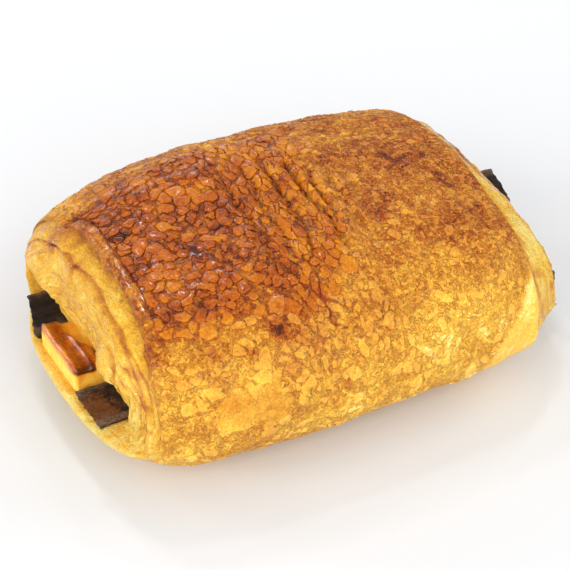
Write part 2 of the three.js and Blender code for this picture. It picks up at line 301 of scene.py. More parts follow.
def edge_step(end, angle):
    """How thick the wrap shows at its edge: all over the top, nothing underneath, and at the
    left end nothing towards the back either, where the edge is baked into the shoulder."""
    shows = smooth(-0.6, 0.3, np.sin(angle))
    if end < 0:
        shows = shows * np.where(np.cos(angle) > 0, smooth(0.72, 1.02, angle), 1)
    return WRAP_THICKNESS[end] * shows


def skin(x, angle, sink=0.0):
    """A point of the wrap's skin: the rounded box at x, plus the relief, plus the edge's lip,
    less the depth that the skin between the plates is sunk by."""
    full = section_radius(angle)
    radius = full * size_at(x / lean_factor(x, full * np.sin(angle)))
    bare = section_point(x, angle, radius)
    edge = np.where(x < 0, wrap_end(-1, angle), wrap_end(1, angle))
    lip = WRAP_LIP * (1 - smooth(0, WRAP_LIP_REACH, edge - np.abs(x))) * smooth(4, 14, bare[..., 2])
    lip = lip * np.where(x < 0, edge_step(-1, angle) / WRAP_THICKNESS[-1], 1)
    return section_point(x, angle, radius + skin_relief(bare) + lip - sink)


def skin_and_normal(x, angle):
    """The skin's point and its outward normal, by small steps along the roll and round it."""
    step = 0.05
    turn = 0.002
    here = skin(x, angle)
    lengthwise = (skin(x + step, angle) - here) / step
    around = (skin(x, angle + turn) - here) / turn
    return here, unit(np.cross(around, lengthwise))


# Mesh making

def make_piece(name, points, corners, sides, values, finish, node):
    """A smooth-shaded mesh object from points in the roll's frame: corners is the run of vertex
    numbers and sides the number of them in each face. values are point attributes by name."""
    mesh = bpy.data.meshes.new(name)
    placed = (points.reshape(-1, 3) + ROLL_MIDDLE) * MILLIMETRE
    mesh.vertices.add(len(placed))
    mesh.vertices.foreach_set("co", placed.ravel())
    mesh.loops.add(len(corners))
    mesh.loops.foreach_set("vertex_index", corners.astype(np.int32))
    mesh.polygons.add(len(sides))
    mesh.polygons.foreach_set("loop_start", (np.cumsum(sides) - sides).astype(np.int32))
    mesh.update(calc_edges=True)
    mesh.polygons.foreach_set("use_smooth", np.ones(len(sides), bool))
    for key, value in values.items():
        value = np.broadcast_to(value, placed.shape[:1]).astype(np.float32)
        mesh.attributes.new(key, "FLOAT", "POINT").data.foreach_set("value", value)
    mesh.validate()
    piece = bpy.data.objects.new(name, mesh)
    bpy.context.scene.collection.objects.link(piece)
    mesh.materials.append(finish)
    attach(piece, "root")
    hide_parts(node)


def ring_faces(rows, around):
    """Faces of a tube of rings, numbered row by row, with a pole before them and one after."""
    i = np.arange(around)
    following = (i + 1) % around
    start = 1 + around * np.arange(rows - 1)[:, None]
    here = start + i
    beside = start + following
    quads = np.stack([here, beside, beside + around, here + around], axis=-1)
    first = np.stack([0 * i, 1 + following, 1 + i], axis=-1)
    last_row = 1 + around * (rows - 1)
    last = np.stack([0 * i + last_row + around, last_row + i, last_row + following], axis=-1)
    corners = np.concatenate([first.ravel(), quads.ravel(), last.ravel()])
    sides = np.concatenate([np.full(around, 3), np.full(quads.size // 4, 4), np.full(around, 3)])
    return corners, sides


def tube(name, first, rings, last, values, finish, node, backwards=False):
    """A closed tube: rings is (rows, around, 3), each ring turning from y towards z, with the
    poles first and last. values are spread to (rows, around), and each pole takes its ring's mean.
    Where the rings turn the other way as seen along the tube, backwards runs them from the last."""
    rows, around = rings.shape[:2]
    values = {key: np.broadcast_to(value, (rows, around)) for key, value in values.items()}
    if backwards:
        first, rings, last = last, rings[::-1], first
        values = {key: value[::-1] for key, value in values.items()}
    points = np.concatenate([np.reshape(first, (1, 3)), rings.reshape(-1, 3), np.reshape(last, (1, 3))])
    corners, sides = ring_faces(rows, around)
    padded = {}
    for key, value in values.items():
        padded[key] = np.concatenate([[value[0].mean()], value.ravel(), [value[-1].mean()]])
    make_piece(name, points, corners, sides, padded, finish, node)


# Browning of the skin

# Lines along the roll and towards the back.
DARK_RED_CRACKS = [
    [(-4.7, -20.3), (-5.9, -23.6), (-6.5, -25.5), (-4.3, -26.4)],
    [(-6.5, -25.5), (-6.2, -27.3), (-6.7, -29.5), (-4.2, -30.6)],
]

# How far along the roll the pale right border starts, by height: (height, place).
PALE_BORDER = [(0, 19), (13, 25.2), (22, 31.9), (25, 35.2), (28, 37.5), (36, 38)]

# Browning by height.
SIDE_TONES = [(0, 0.32), (2.5, 0.25), (9, 0.23), (17, 0.29), (24, 0.35), (29, 0.50), (33, 0.59),
              (40, 0.62)]


def near_line(x, y, line, width):
    """1 on a run of straight stretches and falling off beside it as a bell."""
    nearest = np.full(np.shape(x), 1e3)
    for (x0, y0), (x1, y1) in zip(line, line[1:]):
        share = ((x - x0) * (x1 - x0) + (y - y0) * (y1 - y0)) / ((x1 - x0) ** 2 + (y1 - y0) ** 2)
        share = np.clip(share, 0, 1)
        nearest = np.minimum(nearest, np.hypot(x - mix(x0, x1, share), y - mix(y0, y1, share)))
    return bell(nearest, width)


def wander(points, size, reach, seed):
    """The points shifted about by rolling hills, so that the edges of patches aren't straight."""
    shift = np.stack([hills(points, size, seed + n) for n in range(3)], axis=-1)
    return points + reach * shift


def glazed_zone(points):
    """Where the egg wash is thick: the left and middle of the top, fading past the wrinkles."""
    x, y, z = np.moveaxis(wander(points, 9, 2.5, 20), -1, 0)
    right = 1 - smooth(-2, 9, x - 0.1 * (y + 10))
    back = 1 - smooth(15, 21, y - 4 * smooth(-33, -25, x))
    return smooth(-27, -19, y) * back * right * smooth(26, 30, z)


def bed_depth(points):
    """How far the skin between the plates is sunk under them: most in the glazed zone."""
    return 0.05 + 0.12 * glazed_zone(points)


def bare_patch(points):
    """The smooth patch low on the front, where the crackled skin has come away."""
    x, y, z = np.moveaxis(wander(wander(points, 6, 2.2, 27), 2, 1.0, 24), -1, 0)
    return window(x, -31, -29, -19, -16) * window(z, 15.5, 17, 22.5, 24.5) * (y < 0)


def browning(points):
    """How brown the skin is baked, 0 pale yellow to 1 nearly black: by height, darker in the glazed zone
    and in patches, paler on the shoulder behind the crease and past the right border, and paler along
    the back ridge, where a sheen is painted in."""
    x, y, z = np.moveaxis(points, -1, 0)
    front = 1 - smooth(-12, -2, y)
    behind = y - crease_line(x)
    shoulder = smooth(0.5, 4, behind) * smooth(18, 26, z) * (1 - smooth(0, 14, x))
    crease = crease_fade(x, z) * bell(behind - 0.7, 0.9)
    wrinkled = window(x, -10, -5, 6, 12) * smooth(29, 32, z)
    ridge_sheen = window(x, -34, -22, -5, 5) * window(y, 12, 16, 24, 29) * smooth(28, 31, z)
    right_top = bell(np.hypot((x - 26) / 7, (y - 1) / 10), 1) * smooth(28, 32, z)
    right_shoulder = window(x, 20, 25, 34, 38) * window(z, 24, 28, 34, 36) * (1 - smooth(-8, 2, y))
    right_front = window(x, 2, 9, 24, 31) * window(z, 15, 20, 26.5, 30) * front
    left_front = window(x, -37, -33, -14, 0) * window(z, 6, 10, 22, 28) * front
    left_edge = (1 - smooth(-39, -34, x)) * window(z, 10, 16, 27, 32) * front
    past_border = smooth(-1.2, 0.8, x - along(PALE_BORDER, z) + 1.2 * hills(points, 4, 31))
    pale = past_border * front * smooth(4, 10, z) * (0.129 + 0.301 * smooth(18, 27, z))
    dark_spot = bell(np.hypot(x + 16.2, (y + 28) * 0.8), 1.8) * (z > 24)
    spots = smooth(0.55, 0.8, hills(points, 3.2, 34)) * smooth(12, 20, z)
    bare = bare_patch(points)
    tone = along(SIDE_TONES, z + 1.8 * hills(points, 8, 30))
    tone = tone + 0.08 * hills(points, 6, 32) + 0.06 * hills(points, 2.5, 33)
    tone = tone + 0.11 * glazed_zone(points) - 0.35 * bare * (1 - bare)
    tone = tone + mix(-0.10, 0.09, smooth(-34, -24, x)) * shoulder + 0.16 * crease
    # The back ridge is painted paler: a painted sheen.
    tone = tone - 0.06 * wrinkled - 0.08 * ridge_sheen
    tone = tone + 0.13 * right_top + 0.03 * right_shoulder - 0.13 * right_front - pale
    tone = tone + 0.10 * left_front + 0.03 * left_edge
    return tone + 0.45 * dark_spot + 0.14 * spots


def red_stain(points):
    """Where the dark red cracks of the egg wash run."""
    x, y, z = np.moveaxis(wander(points, 2, 0.35, 36), -1, 0)
    return sum(near_line(x, y, line, 0.32) for line in DARK_RED_CRACKS) * (z > 20)


def flakiness(points):
    """How flaky the skin between the plates is: less on the bare patch and past the pale border, and
    not at all at the table."""
    x, y, z = np.moveaxis(points, -1, 0)
    past = smooth(-2, 1, x - along(PALE_BORDER, z)) * (y < 0)
    return (1 - 0.6 * bare_patch(points)) * (1 - 0.75 * past) * smooth(2, 6, z)


def glossiness(points):
    """How glossy the egg wash is: most in the glazed zone, some on the front, none low down."""
    x, y, z = np.moveaxis(points, -1, 0)
    middle = window(x, -38, -34, 6, 22) * smooth(14, 26, z)
    patchy = 0.5 + 0.5 * hills(points, 4, 38)
    return np.clip(0.12 + 0.85 * glazed_zone(points) + 0.35 * middle * patchy, 0, 1)


# Finishes

class Socket:
    """A value of a material, so that sums on it are written as Python expressions."""

    def __init__(self, finish, socket):
        self.finish = finish
        self.socket = socket

    def sum(self, operation, first, second):
        return self.finish.add("ShaderNodeMath", {"operation": operation}, {0: first, 1: second})

    def __add__(self, other):
        return self.sum("ADD", self, other)

    def __radd__(self, other):
        return self.sum("ADD", other, self)

    def __sub__(self, other):
        return self.sum("SUBTRACT", self, other)

    def __rsub__(self, other):
        return self.sum("SUBTRACT", other, self)

    def __mul__(self, other):
        return self.sum("MULTIPLY", self, other)

    def __rmul__(self, other):
        return self.sum("MULTIPLY", other, self)


class Finish:
    """A material with one Principled shader, and the nodes that feed it."""

    def __init__(self, name, **constants):
        self.material = bpy.data.materials.new(name)
        self.material.use_nodes = True
        self.tree = self.material.node_tree
        self.tree.nodes.clear()
        self.shader = self.tree.nodes.new("ShaderNodeBsdfPrincipled")
        output = self.tree.nodes.new("ShaderNodeOutputMaterial")
        self.tree.links.new(self.shader.outputs[0], output.inputs[0])
        self.feed(self.shader, constants)

    def feed(self, node, inputs):
        for key, value in inputs.items():
            socket = node.inputs[key.replace("_", " ") if isinstance(key, str) else key]
            if isinstance(value, Socket):
                self.tree.links.new(value.socket, socket)
            else:
                socket.default_value = value

    def add(self, kind, settings, inputs, output=0):
        """A node of a kind, with its settings made first, and then its sockets filled or linked."""
        node = self.tree.nodes.new(kind)
        for key, value in settings.items():
            if key == "stops":
                elements = node.color_ramp.elements
                elements[0].color = value[0][1]
                elements[-1].color = value[-1][1]
                for place, colour in value[1:-1]:
                    elements.new(place).color = colour
            else:
                setattr(node, key, value)
        self.feed(node, inputs)
        return Socket(self, node.outputs[output])

    def attribute(self, name):
        return self.add("ShaderNodeAttribute", {"attribute_name": name}, {}, "Fac")

    def millimetres(self, stretch=(1, 1, 1)):
        """Object coordinates in millimetres, stretched along the axes."""
        place = self.add("ShaderNodeTexCoord", {}, {}, "Object")
        factor = tuple(value / MILLIMETRE for value in stretch)
        return self.add("ShaderNodeVectorMath", {"operation": "MULTIPLY"}, {0: place, 1: factor})

    def noise(self, place, size, detail=3, roughness=0.55):
        inputs = {"Vector": place, "Scale": 1 / size, "Detail": detail, "Roughness": roughness}
        return self.add("ShaderNodeTexNoise", {}, inputs)

    def step(self, value, low, high):
        """0 below low and 1 above high, smoothly."""
        settings = {"interpolation_type": "SMOOTHSTEP"}
        return self.add("ShaderNodeMapRange", settings, {"Value": value, "From Min": low, "From Max": high})

    def blend(self, factor, first, second, kind="MIX"):
        inputs = {0: factor, 6: first, 7: second}
        return self.add("ShaderNodeMix", {"data_type": "RGBA", "blend_type": kind}, inputs, 2)

    def bump(self, height):
        """A normal from a height in millimetres."""
        inputs = {"Height": height, "Distance": MILLIMETRE, "Strength": 1.0}
        return self.add("ShaderNodeBump", {}, inputs)


def linear(red, green, blue):
    """A colour given as 0..255 of the screen, as the light that it stands for, with alpha 1."""
    values = [value / 255 for value in (red, green, blue)]
    return *(v / 12.92 if v <= 0.04045 else ((v + 0.055) / 1.055) ** 2.4 for v in values), 1


# From pale yellow to nearly black.
BAKED_TONES = [
    (0.00, linear(255, 228, 144)),
    (0.14, linear(253, 199, 76)),
    (0.30, linear(237, 175, 62)),
    (0.45, linear(219, 151, 50)),
    (0.60, linear(198, 123, 36)),
    (0.75, linear(174, 86, 20)),
    (0.88, linear(128, 50, 8)),
    (1.00, linear(76, 26, 8)),
]


# Three sizes of flakes and two of streaks: size, contrast and lift.
FLAKE_SIZES = [(2.4, 0.07, 0.20), (1.1, 0.09, 0.18), (0.5, 0.09, 0.11)]
STREAK_SIZES = [(0.5, 0.34, 0.30), (0.17, 0.16, 0.10)]


def baked_dough(name, flakes, pits, shine, dusty=0, glow=0, wet=0):
    """Baked dough: its tone from the attribute bake, mottled by noises and by three sizes of flakes
    where a noise lies above its middle, paler and raised, with a darker line beside them, partly a
    split in the skin and partly a painted shadow under the flake's edge. Streaks follow the attribute
    layer, drawn out along run. The attributes flaky and streaky fade the two, stain reddens, and gloss
    smooths and coats. glow lets light into the dough, and wet makes the glossy patches smoother."""
    finish = Finish(name, IOR=1.45, Specular_IOR_Level=shine, Specular_Tint=(1, 0.85, 0.62, 1),
                    Coat_Roughness=0.12, Coat_IOR=1.38, Sheen_Weight=dusty, Sheen_Roughness=0.45,
                    Sheen_Tint=(1, 0.88, 0.74, 1), Subsurface_Weight=glow,
                    Subsurface_Radius=(1.0, 0.45, 0.15), Subsurface_Scale=2 * MILLIMETRE)
    place = finish.millimetres()
    broad = finish.noise(place, 5.0)
    middle = finish.noise(place, 1.3, 4)
    fine = finish.noise(place, 0.36, 3, 0.6)
    flaky = finish.attribute("flaky") * flakes
    shift = finish.add("ShaderNodeTexNoise", {}, {"Vector": place, "Scale": 0.9, "Detail": 3.0}, 1)
    shift = finish.add("ShaderNodeVectorMath", {"operation": "SCALE"}, {0: shift, "Scale": 2.4})
    bent = finish.add("ShaderNodeVectorMath", {"operation": "ADD"}, {0: place, 1: shift})
    mottle = (broad - 0.5) * 0.30 + (middle - 0.5) * 0.34 + (fine - 0.5) * 0.36
    height = (middle - 0.5) * 0.24 * pits + (fine - 0.5) * 0.14 * pits
    for size, contrast, lift in FLAKE_SIZES:
        field = finish.noise(bent, size, 2, 0.5)
        island = finish.step(field, 0.49, 0.53)
        # The darker line beside each flake is partly a split in the skin and partly a painted shadow under
        # its edge.
        crack_and_shadow = finish.step(field, 0.42, 0.49) * (1 - island)
        mottle = mottle + flaky * ((0.5 - island) * contrast + crack_and_shadow * contrast * 0.5)
        height = height + flaky * (island * lift - crack_and_shadow * lift * 0.4)
    drawn = {0: finish.attribute("layer"), 1: finish.attribute("run")}
    layer = finish.add("ShaderNodeCombineXYZ", {}, drawn)
    for size, contrast, lift in STREAK_SIZES:
        streak = (finish.noise(layer, size, 2, 0.5) - 0.5) * finish.attribute("streaky")
        mottle = mottle + streak * contrast * 2
        height = height + streak * lift * 2
    tone = finish.attribute("bake") + mottle
    colour = finish.add("ShaderNodeValToRGB", {"stops": BAKED_TONES}, {"Fac": tone})
    stain = finish.step(finish.attribute("stain") + (fine - 0.5) * 0.6, 0.25, 0.75)
    colour = finish.blend(stain * 0.75, colour, linear(120, 22, 8))
    gloss = finish.attribute("gloss")
    colour = finish.blend(gloss, colour, (1, 0.93, 0.4, 1), "MULTIPLY")
    patchy = finish.step(middle + (fine - 0.5) * 0.5, 0.35, 0.65)
    roughness = 0.72 - gloss * 0.26 - gloss * patchy * (0.20 + wet) + (fine - 0.5) * 0.15
    finish.feed(finish.shader, {
        "Base Color": colour,
        "Roughness": roughness,
        "Coat Weight": gloss * (0.15 + patchy * 0.75),
        "Normal": finish.bump(height),
    })
    return finish.material


def dark_chocolate(name):
    """Dark chocolate: nearly black, with drawn grain along the stick, rusty dust in patches, edges
    painted paler in patches as a painted highlight, and broken ends that are greyer."""
    finish = Finish(name, IOR=1.45, Specular_IOR_Level=0.3)
    place = finish.millimetres()
    drawn = finish.noise(finish.millimetres((0.7, 1, 1)), 1.1, 5, 0.7)
    patches = finish.noise(place, 2.4, 4, 0.65)
    fine = finish.noise(place, 0.3, 3, 0.65)
    dust = finish.step(patches + (fine - 0.5) * 0.5 + finish.attribute("dust") * 0.42, 0.62, 0.84)
    colour = finish.blend(finish.step(drawn, 0.35, 0.75), linear(9, 5, 4), linear(52, 34, 24))
    colour = finish.blend(dust * 0.7, colour, linear(140, 84, 38))
    colour = finish.blend(finish.attribute("broken") * 0.7, colour, linear(104, 92, 82))
    # Paler edges in patches: a painted highlight along the stick's rounded corners.
    highlight_patches = finish.step(patches + (fine - 0.5) * 0.8, 0.42, 0.62)
    colour = finish.blend(finish.attribute("worn") * (0.3 + highlight_patches * 0.6), colour, linear(134, 104, 84))
    height = (drawn - 0.5) * 1.5 + (fine - 0.5) * 0.3
    finish.feed(finish.shader, {
        "Base Color": colour,
        "Roughness": 0.48 + dust * 0.3 + (fine - 0.5) * 0.3,
        "Normal": finish.bump(height),
    })
    return finish.material


crust_finish = baked_dough("baked crust", flakes=1, pits=1, shine=0.22, dusty=0.06)
plate_finish = baked_dough("crackled egg wash", flakes=0.2, pits=0.8, shine=0.14)
flake_finish = baked_dough("dry flakes", flakes=0.3, pits=0.8, shine=0.22, dusty=0.2)
crumb_finish = baked_dough("pale layers", flakes=0.6, pits=5, shine=0.5, glow=0.15, wet=0.22)
glaze_finish = baked_dough("wet glaze", flakes=0, pits=0.6, shine=0.45, glow=0.3, wet=0.15)
chocolate_finish = dark_chocolate("dark chocolate")


# The wrap

WRAP_AROUND = 460
WRAP_ROWS = 184
UNDERSIDE_SHARE = 0.4
FULL_TURN = 2 * math.pi

# Rings of the lip at an edge of the wrap: how far out, as a share of the wrap's thickness or, where
# it is negative, in millimetres; and how deep under the skin, in thicknesses.
LIP_RINGS = [(0.16, 0.06), (0.30, 0.25), (0.34, 0.6), (0.28, 1.0), (0.1, 1.25), (-1.2, 1.5), (-3, 3)]
LIT_ROWS = 8

# The outline of the middle section, from the middle of the bottom round by the back.
ARC_ANGLE = np.linspace(-0.5 * math.pi, 1.5 * math.pi, 6001)
ARC = section_point(np.zeros(1), ARC_ANGLE, section_radius(ARC_ANGLE))
ARC_LENGTH = np.linalg.norm(np.diff(ARC, axis=0), axis=-1)
ARC_RUN = np.concatenate([[0], np.cumsum(ARC_LENGTH)])


def even_angles(count, bottom_share):
    """Angles from the middle of the bottom, round by the back, top and front, evenly spaced on the
    skin of the middle section, but only bottom_share as close together on the flat underside."""
    weight = np.where(ARC[1:, 2] > 0.5, 1, bottom_share)
    run = np.concatenate([[0], np.cumsum(ARC_LENGTH * weight)])
    return np.interp(np.arange(count) / count * run[-1], run, ARC_ANGLE)


def wrap_lip(end, angle, row):
    """The rings of the ragged lip at one edge: from the edge's own row, each goes on out and deeper
    towards the middle of the roll, and the last two back inside it."""
    thick = edge_step(end, angle) + 0.02
    ragged = (0.22 * hills(row, 0.9, 40) + 0.18 * hills(row, 2.2, 41)) * smooth(0, 0.5, thick)
    inwards = towards_middle(row)
    edge = wrap_end(end, angle)
    rings = []
    for out, deep in LIP_RINGS:
        out = out * (0.1 + thick * 0.6) if out > 0 else out
        ring = row + inwards * (thick * deep)[:, None]
        ring[:, 0] = end * (edge + (out + ragged * min(deep * 2, 1) * (deep < 2)))
        ring[:, 2] = np.maximum(ring[:, 2], 0.02)
        rings.append(ring)
    return rings


def wrap_looks(points, angle):
    """The wrap's browning and the rest: darker between the plates, glossy and brown along the left
    lip, mottled underneath, and streaky low down."""
    x, y, z = np.moveaxis(points, -1, 0)
    glazed = glazed_zone(points)
    plated = smooth(9, 14, z) * (1 - bare_patch(points))
    bake = browning(points) + (0.01 + 0.04 * glazed) * plated
    lit = smooth(24, 30, z) * (1 - smooth(12, 17, y))
    lit[len(LIP_RINGS) + LIT_ROWS :] = 0
    lip = 1 - smooth(1.1, 2.0, x + wrap_end(-1, angle) + 0.5 * hills(points, 2, 48))
    lip = lip * smooth(22, 27, z) * window(y, -24, -18, 12, 17)
    bake = mix(bake + 0.06 * lit, 0.64 + 0.14 * hills(points, 2.5, 47), lip)
    under = 1 - smooth(0, 0.6, z)
    bake = mix(bake, 0.5 + 0.12 * hills(points, 9, 43) + 0.06 * hills(points, 3, 44), under)
    past = smooth(-3, 0, x - along(PALE_BORDER, z)) * (y < 0)
    return {
        "bake": bake,
        "gloss": np.clip(glossiness(points) * (1 - 0.5 * glazed) + 0.5 * lit, 0, 1),
        "stain": red_stain(points),
        "flaky": flakiness(points),
        "layer": 0.55 * z + 0.5 * hills(points, 6, 45),
        "run": 0.06 * x,
        "streaky": window(z, 1, 3, 9, 14) * smooth(-0.2, 0.4, hills(points, 7, 46)) * (1 - past),
    }


def make_wrap():
    """Rings from the left edge of the wrap to the right one; beyond each edge its lip turns in
    over the thickness of the wrap and runs back inside the roll, to a pole."""
    angle = even_angles(WRAP_AROUND, UNDERSIDE_SHARE)
    share = np.linspace(0, 1, WRAP_ROWS)[:, None]
    x = mix(-wrap_end(-1, angle), wrap_end(1, angle), share)
    top = skin(x, angle)
    body = skin(x, angle, bed_depth(top) * smooth(2, 8, top[..., 2]))
    left = wrap_lip(-1, angle, body[0])
    right = wrap_lip(1, angle, body[-1])
    stack = np.stack([*left[::-1], *body, *right])
    first = stack[0].mean(axis=0) + [1, 0, 0]
    last = stack[-1].mean(axis=0) - [1, 0, 0]
    tube("wrap", first, stack, last, wrap_looks(stack, angle), crust_finish, "pastry")


make_wrap()


# The ends

END_AROUND = 560
FACE_ROWS = 92
WALL_SHARES = np.linspace(0.05, 0.99, 24)
SIDE_SHARES = np.linspace(0.06, 1, 12)
RIM_SHARES = (0.1, 0.3, 0.55, 0.8)
LEAST_SIDE = 0.3
FACE_REACH = 44
LAYER_COUNT = 26
FOLD_SIZE = 0.735
SECOND_FOLD_SIZE = 0.845

# Rings that run back under the wrap: how far back, and the share of the edge's size.
RINGS_UNDER_WRAP = [(1.0, 0.997), (4.5, 0.95)]


def slot_outline(angle, grow=0.0):
    """The rounded rectangle of the slot, grown by a margin, as seen from the belly line: the
    distance to its edge in each direction, found by halving the bracket on it forty times."""
    half = SLOT_HALF + grow
    low = np.zeros_like(angle)
    high = np.full_like(angle, 40.0)
    for _ in range(40):
        radius = (low + high) / 2
        y, z = from_belly(angle, radius)
        off = np.stack([np.abs(y - SLOT_MIDDLE[0]) - half[0], np.abs(z - SLOT_MIDDLE[1]) - half[1]])
        off = off + SLOT_ROUNDING
        corner = np.linalg.norm(np.maximum(off, 0), axis=0)
        outside = corner + np.minimum(off.max(axis=0), 0) - SLOT_ROUNDING
        low = np.where(outside < 0, radius, low)
        high = np.where(outside < 0, high, radius)
    return (low + high) / 2


def spread_angles(radius_of, count):
    """Angles of a closed outline round the belly line, evenly spaced along its length, from 0."""
    angle = np.linspace(0, FULL_TURN, 8001)
    radius = radius_of(angle)
    outline = np.stack([radius * np.cos(angle), radius * np.sin(angle)], axis=-1)
    run = np.concatenate([[0], np.cumsum(np.linalg.norm(np.diff(outline, axis=0), axis=-1))])
    return np.interp(np.arange(count) / count * run[-1], run, angle)


def outermost_size(end, angle):
    """The size of the section, as a share, that the layers reach just inside the wrap's edge."""
    full = section_radius(angle)
    skin_size = size_at(wrap_end(end, angle) / lean_factor(end, full * np.sin(angle)))
    return skin_size - edge_step(end, angle) / full


def from_fold_bump(y, z):
    """The distance from the middle of the fold above the front stick."""
    return np.hypot(y - FOLD_BUMP["y"], z - FOLD_BUMP["z"])


def end_face(end, y, z):
    """How far out the layered face of an end lies at a place of the section, and the place's size
    and angle in the section. The rounded end, less the recess of the inner layers, plus lumps,
    the rolled floor lip, the fold above the front stick, and the layers' own edges and pits."""
    bow = ROLL_BOW * (FACE_REACH / HALF) ** 2
    flat_z = z / (1 + BACK_RISE * y / ROLL_WIDTH)
    rise = flat_z - BELLY_HEIGHT
    angle = np.arctan2(rise, y + bow)
    size = np.hypot(rise, y + bow) / section_radius(angle)
    outermost = outermost_size(end, angle)
    upward = np.sin(angle)
    high = mix(SIDE_SHARE, 1, smooth(0.1, 0.8, upward)) * smooth(-0.5, 0.1, upward)
    towards_back = smooth(20, 29, y + bow)
    recess = END_SHARE[end] * high * (1 - BACK_FILLED * towards_back) * along(LAYER_RECESS, size)
    lip = FLOOR_LIP[end] * window(-rise, 2, 6, 9, 13)
    face = end_reach(size) * lean_factor(end + 0 * y, rise) + lip - recess
    reach = np.minimum(face, wrap_end(end, angle) + 0.2 + (outermost - size) * BAND_SLOPE)
    points = joined(end * reach, y, z)
    lumps = crags(LAYER_CRAGS, points) * smooth(8, 12, z)
    inside = 1 - smooth(0.85, 1, size / outermost)
    if end < 0:
        away = from_fold_bump(y, z)
        swell = 1.2 * bell(away, FOLD_BUMP["reach"]) - 0.35 * bell(away - 4.8, 0.6)
        lumps = lumps + FOLD_BUMP["height"] * swell
        beyond = np.maximum(y - LEFT_SHELF_BACK, np.maximum(SLOT_FLOOR - z, z - SLOT_ROOF))
        shelf = 1 - smooth(-0.6, 0.6, beyond)
        reach = mix(reach, np.minimum(reach, LEFT_SHELF_WALL), shelf)
    return reach + (lumps + layer_edges(points, size, angle)) * inside, size, angle, outermost


def layer_number(points, size):
    """Which thin layer a place lies in, counted outwards from the middle and bent by hills."""
    return size * LAYER_COUNT + 1.6 * hills(points, 9, 50) + 0.5 * hills(points, 3, 51)


def past_folds(points, size):
    """How far outside each of the two folded edges a place lies, as a share of the section."""
    first = size - FOLD_SIZE - 0.012 * hills(points, 5, 56)
    second = size - SECOND_FOLD_SIZE - 0.02 * hills(points, 7, 57)
    return first, second


def ridge_across(layer, peak):
    """Straight up from 0 at the inner side of a layer to 1 at its peak, and straight down again."""
    part = layer - np.floor(layer)
    return np.minimum(part / peak, (1 - part) / (1 - peak))


def layer_edges(points, size, angle):
    """Edges of the thin layers: ridges at even steps of size, with the angle and slow hills
    bending them, and lens-shaped pits where two layers part. None on the smooth floor."""
    _, y, z = np.moveaxis(points, -1, 0)
    layer = layer_number(points, size)
    part = layer - np.floor(layer)
    first, second = past_folds(points, size)
    strong = smooth(9, 12, z) * (0.25 + 0.75 * smooth(-0.3, 0.5, hills(points, 7, 52)))
    corner = 1 - smooth(-19, -15, y)
    relief = (0.20 + 0.60 * corner) * (ridge_across(layer, 0.85) - 0.5) * strong
    relief = relief - 0.6 * bell(first, 0.010) * (np.sin(angle) > 0.15)
    relief = relief - 0.5 * bell(second, 0.009) * smooth(-0.1, 0.4, hills(points, 6, 58)) * strong
    relief = relief + 0.35 * smooth(-0.02, 0.02, second) * strong
    lens = smooth(0.25, 0.75, hills(points * [1, 1, 0.45], 3.6, 53)) * bell(part - 0.5, 0.32)
    relief = relief - (0.35 + 1.1 * corner) * lens * strong
    return relief + (0.30 * hills(points, 1.9, 54) + 0.16 * hills(points, 0.9, 55)) * smooth(8, 11, z)


def slot_wall(end, y, z):
    """How far out the back wall of the slot lies: it rolls outwards towards the roof, with hills
    and with ridges at even steps of height, the edges of thin layers."""
    points = joined(end * SLOT_WALL, y, z)
    ridge = ridge_across(z / 1.4 + 0.9 * hills(points, 6, 78), 0.8) - 0.5
    rough = 0.5 * hills(points, 3.5, 79) + 0.25 * hills(points, 1.4, 76)
    above = smooth(SLOT_FLOOR + 1, SLOT_FLOOR + 4, z)
    return SLOT_WALL + 0.6 + 2.4 * smooth(14, SLOT_ROOF + 1, z) ** 2 + (0.4 * ridge + rough) * above


def end_rings(end):
    """The rings of an end: out over the wall of the slot from its middle, along the slot's sides,
    over its rounded rim, across the layered face to the wrap's edge, and back under the wrap."""
    slot_angle = spread_angles(slot_outline, END_AROUND)
    edge_angle = spread_angles(lambda a: section_radius(a) * outermost_size(end, a), END_AROUND)
    slot_ring = joined(end * SLOT_WALL, 12 * np.cos(slot_angle), 9 * np.sin(slot_angle))
    wave = 0.7 * hills(slot_ring, 5, 77) * (np.sin(slot_angle) > -0.2)
    slot_y, slot_z = from_belly(slot_angle, slot_outline(slot_angle) + wave)
    rim_y, rim_z = from_belly(slot_angle, slot_outline(slot_angle, SLOT_RIM) + wave)
    edge_x = wrap_end(end, edge_angle)
    wrap_edge = skin(end * edge_x, edge_angle, 0.08)
    edge_ring = wrap_edge + towards_middle(wrap_edge) * edge_step(end, edge_angle)[:, None]
    _, edge_y, edge_z = edge_ring.T
    rim_start = end_face(end, slot_y, slot_z)[0] - SLOT_RIM
    deepest = rim_start - LEAST_SIDE
    rings = []
    for share in WALL_SHARES:
        y = mix(SLOT_MIDDLE[0], slot_y, share)
        z = mix(SLOT_MIDDLE[1], slot_z, share)
        rings.append(joined(np.minimum(slot_wall(end, y, z), deepest), y, z))
    wall = np.minimum(slot_wall(end, slot_y, slot_z), deepest)
    for share in SIDE_SHARES:
        rings.append(joined(mix(wall, rim_start, share), slot_y, slot_z))
    for share in RIM_SHARES:
        y = mix(slot_y, rim_y, share)
        z = mix(slot_z, rim_z, share)
        rounding = SLOT_RIM * (1 - np.sqrt(1 - (1 - share) ** 2))
        rings.append(joined(end_face(end, y, z)[0] - rounding, y, z))
    for share in np.linspace(0, 1, FACE_ROWS):
        y = mix(rim_y, edge_y, share)
        z = mix(rim_z, edge_z, share)
        reach = mix(end_face(end, y, z)[0], edge_x + 0.03, smooth(0.975, 1, share))
        rings.append(joined(reach, y, z))
    for back, shrink in RINGS_UNDER_WRAP:
        rings.append(joined(edge_x - back, edge_y * shrink, mix(BELLY_HEIGHT, edge_z, shrink)))
    return np.stack(rings) * [end, 1, 1]


